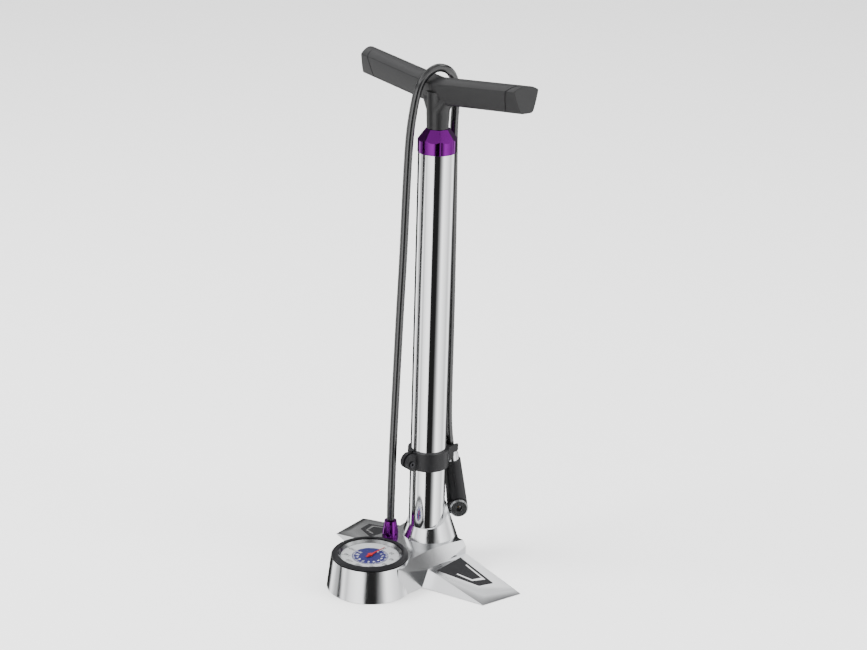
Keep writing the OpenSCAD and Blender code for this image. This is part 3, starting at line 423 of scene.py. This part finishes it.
# ---------------------------------------------------------------------------
# Handle: glass-filled nylon moulded in one piece with its neck, in a fine satin grain. Each end
# has its own cap, and a brass insert inside takes the rod's thread.
# ---------------------------------------------------------------------------
END_CAP_JOINT = 0.0007
grip_plastic = finish("satin_black_nylon", (0.011, 0.011, 0.0115), 0.0, 0.42, grain_size=1300.0,
                      smudge_size=22.0, depth=0.00003, speck_depth=True, specular=0.5)
cap_plastic = finish("end_cap_nylon", (0.01, 0.01, 0.0105), 0.0, 0.4, grain_size=1300.0,
                     smudge_size=30.0, depth=0.00002, specular=0.5)
finished("handle_grip", grip_plastic, "rod", "black_plastic", width=0.0005, angle=32, segments=3)
for side, outward in (("left", -1), ("right", 1)):
    cap = finished("end_cap_" + side, cap_plastic, "rod", "black_plastic",
                   width=0.0008, angle=32, segments=3)
    # the cap stops short of the grip, which leaves a fine dark joint between them
    tip = max(outward * v.co.x for v in cap.data.vertices)
    foot = min(outward * v.co.x for v in cap.data.vertices)
    shrink = 1 - END_CAP_JOINT / (tip - foot)
    shorter = Matrix.Diagonal((shrink, 1, 1, 1))
    cap.data.transform(Matrix.Translation((outward * tip * (1 - shrink), 0, 0)) @ shorter)
finished("handle_insert", brass, "rod", "brass", width=0.0002)


# ---------------------------------------------------------------------------
# Check valve and the barrel's fixings: a ball on a spring in a brass cage under the barrel's
# plug, an O-ring in a groove, and three socket-head screws from below.
# ---------------------------------------------------------------------------
finished("barrel_o_ring", seal_rubber, "base", "seal_rubber", width=0.0004)
finished("barrel_screws", plain_steel, "base", "steel", width=0.0002)
finished("valve_seat", brass, "base", "brass", width=0.0002)
finished("valve_cage", brass, "base", "brass", width=0.0002)
finished("valve_ball", seal_rubber, "ball", "valve_rubber", width=0)
finished("valve_spring", plain_steel, "base", "steel", width=0)


# ---------------------------------------------------------------------------
# Gauge movement: a steel cup holds the brass socket, the Bourdon tube and the plates that carry
# the sector and the needle's spindle.
# ---------------------------------------------------------------------------
finished("gauge_case", plain_steel, "base", "steel", width=0.0003)
for name in ("gauge_socket", "bourdon_tube", "gauge_movement"):
    finished(name, brass, "base", "brass", width=0.0002)
finished("gauge_sector", brass, "sector", "brass", width=0.0001)
finished("gauge_spindle", brass, "needle", "brass", width=0.0001)


# ---------------------------------------------------------------------------
# Dial: a printed silver disc with an indigo centre. Grey marks and numbers ring it outside, white
# ones inside, and a red needle turns over them.
# ---------------------------------------------------------------------------
DIAL = Vector((0.0, -0.0989, 0.040))
GAUGE_CENTRE = (DIAL.x, DIAL.y)
ZERO = 97.0
SWEEP = 270.0
PRINT_LOW, PRINT_HIGH = 0.04002, 0.04006
INK_THICKNESS = 0.00003
NUMBER_HALF_THICKNESS = 0.000015
NUMBER_BOLDNESS = 0.0001
dial_silver = finish("printed_silver", (0.42, 0.43, 0.44), 0.0, 0.36, tint=0.04,
                     grain_size=1600.0, depth=0.000004)
dial_indigo = finish("printed_indigo", (0.016, 0.016, 0.1), 0.0, 0.4, tint=0.08,
                     grain_size=1600.0, depth=0.000004)
ink_grey = finish("grey_ink", (0.025, 0.025, 0.03), 0.0, 0.5, grain_size=2500.0, depth=0.000002)
ink_white = finish("white_ink", (0.86, 0.87, 0.88), 0.0, 0.45, tint=0.03, grain_size=2500.0,
                   depth=0.000002)
dial = turned("dial_plate", [
    (0.0013, 0.0392), (0.0013, 0.0400), (0.0424, 0.0400), (0.0424, 0.0392)], centre=GAUGE_CENTRE)
soften(dial, 0)
mount_piece(dial, dial_silver, "base", "dial_face", "gauge_dial")
centre_disc = turned("dial_centre", [
    (0.0016, PRINT_LOW), (0.0016, PRINT_HIGH), (0.0230, PRINT_HIGH), (0.0230, PRINT_LOW)],
    centre=GAUGE_CENTRE)
soften(centre_disc, 0)
mount_piece(centre_disc, dial_indigo, "base", "dial_face")


def dial_marks(name, material, height, marks, numbers, number_r, size):
    """Bars and numbers printed on the dial: marks are (degrees from zero, inner, outer, width),
    and numbers are (degrees from zero, what is printed)."""
    data = bpy.data.meshes.new(name)
    sheet = bmesh.new()
    for turn, inner, outer, width in marks:
        a = math.radians(ZERO - turn)
        out = Vector((math.cos(a), math.sin(a), 0))
        side = Vector((-out.y, out.x, 0)) * width / 2
        low = DIAL + Vector((0, 0, height))
        corners = [low + out * inner - side, low + out * outer - side,
                   low + out * outer + side, low + out * inner + side]
        bottom = [sheet.verts.new(c) for c in corners]
        top = [sheet.verts.new(c + Vector((0, 0, INK_THICKNESS))) for c in corners]
        sheet.faces.new(list(reversed(bottom)))
        sheet.faces.new(top)
        for k in range(4):
            j = (k + 1) % 4
            sheet.faces.new((bottom[k], bottom[j], top[j], top[k]))
    bmesh.ops.recalc_face_normals(sheet, faces=sheet.faces)
    sheet.to_mesh(data)
    sheet.free()
    piece = bpy.data.objects.new(name, data)
    bpy.context.scene.collection.objects.link(piece)
    words = []
    for turn, word in numbers:
        a = math.radians(ZERO - turn)
        bpy.ops.object.select_all(action="DESELECT")
        bpy.ops.object.text_add()
        text = bpy.context.object
        text.data.body = word
        text.data.size = size
        text.data.align_x = "CENTER"
        text.data.align_y = "CENTER"
        text.data.extrude = NUMBER_HALF_THICKNESS
        text.data.offset = NUMBER_BOLDNESS
        text.data.resolution_u = 3
        only(text)
        bpy.ops.object.convert(target="MESH")
        text = bpy.context.object
        text.data.transform(Matrix.Rotation(math.pi, 4, "Z"))
        text.data.transform(Matrix.Translation(
            DIAL + Vector((math.cos(a) * number_r, math.sin(a) * number_r, height + 0.000016))))
        words.append(text)
    only(piece)
    for text in words:
        text.select_set(True)
    bpy.context.view_layer.objects.active = piece
    bpy.ops.object.join()
    mount_piece(piece, material, "base", "dial_face")


rim_line = turned("dial_rim_line", [
    (0.0372, PRINT_LOW), (0.0372, PRINT_HIGH), (0.0380, PRINT_HIGH), (0.0380, PRINT_LOW)],
    centre=GAUGE_CENTRE)
soften(rim_line, 0)
mount_piece(rim_line, ink_grey, "base", "dial_face")
outer_marks = [(SWEEP * k / 80, 0.0336 if k % 10 == 0 else 0.0348 if k % 5 == 0 else 0.0358,
                0.0368, 0.0009 if k % 10 == 0 else 0.0005) for k in range(81)]
outer_numbers = [(SWEEP * k / 8, str(20 * k)) for k in range(9)]
dial_marks("dial_marks_outer", ink_grey, 0.00002, outer_marks, outer_numbers, 0.0286, 0.0068)
inner_marks = [(SWEEP * k / 55, 0.0192 if k % 5 == 0 else 0.0206, 0.0222,
                0.0007 if k % 5 == 0 else 0.0004) for k in range(56)]
inner_numbers = [(SWEEP * k / 11, str(k)) for k in range(12)]
dial_marks("dial_marks_inner", ink_white, 0.00008, inner_marks, inner_numbers, 0.0158, 0.0044)
needle_red = finish("needle_red", (0.4, 0.008, 0.012), 0.0, 0.35, grain_size=1500.0, depth=0.000004)
needle = finished("gauge_needle", needle_red, "needle", "needle_red", width=0.0001)
# the blade is thinned across its length, and the hub keeps its size
HUB_R = 0.0045
BLADE_THINNED_BY = 0.4
blade = Vector((math.cos(math.radians(ZERO)), math.sin(math.radians(ZERO)), 0))
across = Vector((-blade.y, blade.x, 0))
for vertex in needle.data.vertices:
    off = vertex.co - DIAL
    if (off.x ** 2 + off.y ** 2) ** 0.5 > HUB_R:
        vertex.co -= across * off.dot(across) * BLADE_THINNED_BY


# ---------------------------------------------------------------------------
# Gauge surround: a bright sloping bevel, a clear lens and a black rubber ring that holds them
# down on the pod's rim.
# ---------------------------------------------------------------------------
SURROUND_SMOOTH_BELOW = 50
EDGE_GLOSS = 0.12
FACE_ON_ALPHA = 0.02
EDGE_ON_ALPHA = 0.25
bright_bevel = finish("bright_bevel", (0.62, 0.63, 0.64), 1.0, 0.16, tint=0.03, rough_span=0.05,
                      grain_size=900.0, depth=0.000004)
bevel_ring = turned("gauge_bevel_ring", [
    (0.0380, 0.04005), (0.0422, 0.04005), (0.0422, 0.04335), (0.0409, 0.04335)],
    centre=GAUGE_CENTRE)
soften(bevel_ring, 0)
mount_piece(bevel_ring, bright_bevel, "base", "chrome_trim", "gauge_bevel")
ring_rubber = finish("ring_rubber", (0.006, 0.006, 0.007), 0.0, 0.4, grain_size=1400.0,
                     smudge_size=30.0, depth=0.00001)
surround = turned("gauge_surround", [
    (0.04255, 0.04205), (0.0472, 0.04205), (0.0481, 0.0428), (0.0482, 0.0436), (0.0472, 0.0445),
    (0.0432, 0.0459), (0.0421, 0.0462), (0.0414, 0.0461), (0.0410, 0.0456), (0.0410, 0.04465),
    (0.04255, 0.04465)], centre=GAUGE_CENTRE)
only(surround)
bpy.ops.object.shade_smooth_by_angle(angle=math.radians(SURROUND_SMOOTH_BELOW))
mount_piece(surround, ring_rubber, "base", "tread_rubber", "gauge_ring")
lens = turned("gauge_lens_disc", [
    (0.0, 0.0434), (0.0425, 0.0434), (0.0425, 0.0446), (0.0, 0.0446)], centre=GAUGE_CENTRE)
soften(lens, 0)
clear = finish("clear_lens", (0.01, 0.01, 0.011), 0.0, 0.06, tint=0.01, rough_span=0.03,
               grain_size=300.0, depth=0.000001)
clear_tree = clear.node_tree
facing = node(clear_tree, "ShaderNodeLayerWeight")
facing.inputs["Blend"].default_value = EDGE_GLOSS
edge_on = math_node(clear_tree, "MULTIPLY", facing.outputs["Fresnel"], EDGE_ON_ALPHA)
see_through = math_node(clear_tree, "ADD", edge_on, FACE_ON_ALPHA)
clear_tree.links.new(see_through, clear_tree.nodes["Principled BSDF"].inputs["Alpha"])
mount_piece(lens, clear, "base", "clear_plastic", "gauge_lens")


# ---------------------------------------------------------------------------
# Clip: one nylon moulding, drawn tight round the barrel by a screw and a nut through its ears. Its
# fork at the back holds the hose just above the head.
# ---------------------------------------------------------------------------
clip_plastic = finish("clip_nylon", (0.01, 0.01, 0.011), 0.0, 0.42, grain_size=1200.0,
                      smudge_size=40.0, depth=0.00002)
finished("hose_clip", clip_plastic, "base", "black_plastic", width=0.0007, angle=32, segments=3)
black_steel = finish("blackened_steel", (0.06, 0.06, 0.065), 1.0, 0.35, grain_size=1200.0,
                     depth=0.00001)
finished("clip_screw", black_steel, "base", "steel", width=0.0002)
finished("clip_nut", black_steel, "base", "steel", width=0.0002)
finished("hose_barb", brass, "base", "brass", width=0.0001)


# ---------------------------------------------------------------------------
# Head: a bright ferrule crimped on the hose, an aluminium elbow in a rubber sleeve, and a
# knurled ring that screws down on the tyre valve round a rubber washer and a pin.
# ---------------------------------------------------------------------------
crimped = finish("bright_ferrule", (0.84, 0.85, 0.86), 1.0, 0.16, tint=0.04, rough_span=0.06,
                 grain_size=700.0, depth=0.000005)
sleeve_rubber = finish("sleeve_rubber", (0.008, 0.008, 0.009), 0.0, 0.5, grain_size=1200.0,
                       smudge_size=50.0, depth=0.00004, speck_depth=True)
knurled = finish("knurled_ring", (0.36, 0.365, 0.37), 1.0, 0.26, tint=0.04, rough_span=0.08,
                 grain_size=900.0, depth=0.000006)
machined = finish("machined_aluminium", (0.72, 0.73, 0.74), 1.0, 0.28, grain_size=900.0,
                  depth=0.000008)
finished("head_ferrule", crimped, "base", "chrome_trim", width=0.0005, angle=25)
finished("head_body", machined, "base", "head_aluminium", width=0.0002)
finished("head_sleeve", sleeve_rubber, "base", "hose_rubber", width=0.0008, segments=3)
finished("chuck_ring", knurled, "chuck", "chrome_trim", width=0.00015, angle=25)
finished("chuck_washer", seal_rubber, "base", "seal_rubber", width=0.0003)
# the valve pin is brass, painted much darker as painted shade for the deep mouth of the chuck where
# it sits in shadow
brass_with_painted_shade = finish("brass_with_painted_shade", (0.2, 0.14, 0.06), 1.0, 0.4, tint=0.1, grain_size=900.0,
                    depth=0.000008)
finished("valve_pin", brass_with_painted_shade, "base", "brass", width=0.0001)
# a thin raised rib is moulded on the sleeve's front, along its axis
HEAD_TOP = Vector((0.003, 0.038, 0.149))
RIB_FACES = Vector((0.74, -0.66, 0))
RIB_MIDDLE = 0.0385
RIB_LENGTH = 0.016
RIB_HEIGHT = 0.0014
RIB_FOOT_WIDTH = 0.0016
RIB_TOP_WIDTH = 0.001
SLEEVE_R = 0.0111
SLEEVE_FLARE = 0.0377
SLEEVE_FLARE_FROM = 0.018
outward = RIB_FACES - HEAD_WAY * RIB_FACES.dot(HEAD_WAY)
outward.normalize()
beside = HEAD_WAY.cross(outward)
bpy.ops.object.select_all(action="DESELECT")
bpy.ops.mesh.primitive_cube_add(size=1.0)
rib = bpy.context.object
rib.name = "sleeve_rib"
for vertex in rib.data.vertices:
    x, y, z = vertex.co
    along = RIB_MIDDLE + z * RIB_LENGTH
    away = SLEEVE_R + SLEEVE_FLARE * (along - SLEEVE_FLARE_FROM) + x * RIB_HEIGHT
    sideways = y * (RIB_FOOT_WIDTH if x < 0 else RIB_TOP_WIDTH)
    vertex.co = HEAD_TOP + HEAD_WAY * along + outward * away + beside * sideways
soften(rib, 0.0003, segments=3)
mount_piece(rib, sleeve_rubber, "base", "hose_rubber")


# ---------------------------------------------------------------------------
# Studio: a pale floor, one large soft light above and a pale room with a few dark panels, which
# give the polished metal its stripes.
# ---------------------------------------------------------------------------
FLOOR_SIZE = 60.0
ROOM_BRIGHTNESS = 2.4
PANEL_WHITE, PANEL_DARK = 1.0, 0.008
bpy.ops.object.select_all(action="DESELECT")
bpy.ops.mesh.primitive_plane_add(size=FLOOR_SIZE, location=(0, 0, 0))
floor = bpy.context.object
floor.name = "studio_floor"
floor_paint = finish("floor_paint", (0.86, 0.86, 0.86), 0.0, 0.7, tint=0.01, rough_span=0.05,
                     grain_size=60.0, depth=0.00002, specular=0.2)
floor.data.materials.append(floor_paint)
# mirror reflections look past the floor into the room, as they would on a small round table
paint_tree = floor_paint.node_tree
ray = node(paint_tree, "ShaderNodeLightPath")
open_floor = node(paint_tree, "ShaderNodeBsdfTransparent")
choice = node(paint_tree, "ShaderNodeMixShader")
paint_tree.links.new(ray.outputs["Is Glossy Ray"], choice.inputs[0])
paint_tree.links.new(paint_tree.nodes["Principled BSDF"].outputs[0], choice.inputs[1])
paint_tree.links.new(open_floor.outputs[0], choice.inputs[2])
paint_tree.links.new(choice.outputs[0], paint_tree.nodes["Material Output"].inputs["Surface"])

world = bpy.data.worlds.new("studio")
bpy.context.scene.world = world
world.use_nodes = True
sky = world.node_tree
sky.nodes.clear()
direction = node(sky, "ShaderNodeTexCoord")
split = node(sky, "ShaderNodeSeparateXYZ")
sky.links.new(direction.outputs["Generated"], split.inputs[0])
azimuth = math_node(sky, "ARCTAN2", split.outputs["Y"], split.outputs["X"])
around = math_node(sky, "ADD", math_node(sky, "DIVIDE", azimuth, 2 * math.pi), 0.5)


def grey_ramp(tree, source, stops):
    """A ramp of greys over source: stops are (position, grey), from the first to the last."""
    made = node(tree, "ShaderNodeValToRGB")
    elements = made.color_ramp.elements
    for element, (position, value) in ((elements[0], stops[0]), (elements[1], stops[-1])):
        element.position = position
        element.color = (value, value, value, 1)
    for position, value in stops[1:-1]:
        elements.new(position).color = (value, value, value, 1)
    tree.links.new(source, made.inputs[0])
    return made


# the panels stand round the pump, each at its azimuth in degrees and with its grey
PANELS = [(-180, PANEL_DARK), (-171, PANEL_WHITE), (-150, 0.3), (-140, 0.3), (-136, PANEL_DARK),
          (-127, PANEL_DARK), (-122, 0.9), (-108, 0.4), (-98, 0.75), (-78, PANEL_WHITE),
          (-62, PANEL_WHITE), (-57, PANEL_DARK), (-26, PANEL_DARK), (-12, 0.2), (4, PANEL_WHITE),
          (50, 0.45), (76, 0.9), (90, 0.06), (110, PANEL_DARK), (165, PANEL_DARK)]
panels = grey_ramp(sky, around, [((degrees + 180) / 360, value) for degrees, value in PANELS])
# above the panels the walls are grey bands under a white ceiling; they reach lower at the back
BACK_WALL_RAISED = 0.34
PANEL_TOP, WALL_FOOT = 0.34, 0.48
behind = math_node(sky, "SUBTRACT", split.outputs["Y"], split.outputs["X"])
behind = math_node(sky, "MULTIPLY", math_node(sky, "MAXIMUM", behind, 0.0), BACK_WALL_RAISED)
raised = math_node(sky, "ADD", split.outputs["Z"], behind)
height = node(sky, "ShaderNodeMapRange", interpolation_type="SMOOTHSTEP")
height.inputs["From Min"].default_value = PANEL_TOP
height.inputs["From Max"].default_value = WALL_FOOT
sky.links.new(raised, height.inputs["Value"])
WALL_BANDS = [(0.08, 0.03), (0.2, 0.2), (0.3, 0.07), (0.42, 0.05), (0.5, 0.12), (0.6, 0.9),
              (0.67, 0.8), (0.71, 0.2), (0.75, 0.6), (0.88, 0.4), (1.0, 0.5)]
upper = grey_ramp(sky, split.outputs["Z"], WALL_BANDS)
# the ceiling is three long lamps with dark gaps between them
LAMPS, LAMPS_TURNED = 3.0, 0.68
LAMP_SWING, LAMP_MEAN = 0.46, 0.54
CEILING_FROM, CEILING_FULL = 0.72, 0.85
turn = math_node(sky, "ADD", math_node(sky, "MULTIPLY", azimuth, LAMPS), LAMPS_TURNED)
wave = math_node(sky, "MULTIPLY", math_node(sky, "SINE", turn), LAMP_SWING)
wave = math_node(sky, "ADD", wave, LAMP_MEAN)
aloft = node(sky, "ShaderNodeMapRange", interpolation_type="SMOOTHSTEP")
aloft.inputs["From Min"].default_value = CEILING_FROM
aloft.inputs["From Max"].default_value = CEILING_FULL
sky.links.new(split.outputs["Z"], aloft.inputs["Value"])
gaps = math_node(sky, "SUBTRACT", 1.0, wave)
lamps = math_node(sky, "SUBTRACT", 1.0, math_node(sky, "MULTIPLY", aloft.outputs[0], gaps))
striped = node(sky, "ShaderNodeMix", data_type="RGBA", blend_type="MULTIPLY")
striped.inputs["Factor"].default_value = 1.0
sky.links.new(upper.outputs["Color"], striped.inputs["A"])
sky.links.new(lamps, striped.inputs["B"])
ceiling = node(sky, "ShaderNodeMix", data_type="RGBA")
sky.links.new(striped.outputs["Result"], ceiling.inputs["B"])
sky.links.new(height.outputs[0], ceiling.inputs["Factor"])
sky.links.new(panels.outputs["Color"], ceiling.inputs["A"])
seen = node(sky, "ShaderNodeLightPath")
backdrop = node(sky, "ShaderNodeMix", data_type="RGBA")
backdrop.inputs["B"].default_value = (0.95, 0.95, 0.95, 1)
sky.links.new(seen.outputs["Is Camera Ray"], backdrop.inputs["Factor"])
sky.links.new(ceiling.outputs["Result"], backdrop.inputs["A"])
glow = node(sky, "ShaderNodeBackground")
glow.inputs["Strength"].default_value = ROOM_BRIGHTNESS
sky.links.new(backdrop.outputs["Result"], glow.inputs["Color"])
world_out = node(sky, "ShaderNodeOutputWorld")
sky.links.new(glow.outputs[0], world_out.inputs["Surface"])


def softbox(name, place, target, size, power):
    """A wide soft lamp that lights the pump and doesn't show in its metal."""
    lamp = bpy.data.lights.new(name, "AREA")
    lamp.shape = "RECTANGLE"
    lamp.size, lamp.size_y = size
    lamp.energy = power
    holder = bpy.data.objects.new(name, lamp)
    bpy.context.scene.collection.objects.link(holder)
    holder.location = place
    aim = Vector(target) - Vector(place)
    holder.rotation_euler = aim.to_track_quat("-Z", "Y").to_euler()
    holder.visible_camera = False
    holder.visible_glossy = False


softbox("key_light", (-1.2, -2.0, 2.6), (0, 0, 0.3), (1.6, 1.6), 150.0)
softbox("side_light", (2.4, 1.2, 1.6), (0, 0, 0.35), (1.2, 1.8), 60.0)
softbox("overhead_light", (0.0, 0.5, 6.0), (0, 0.5, 0), (8.0, 8.0), 900.0)
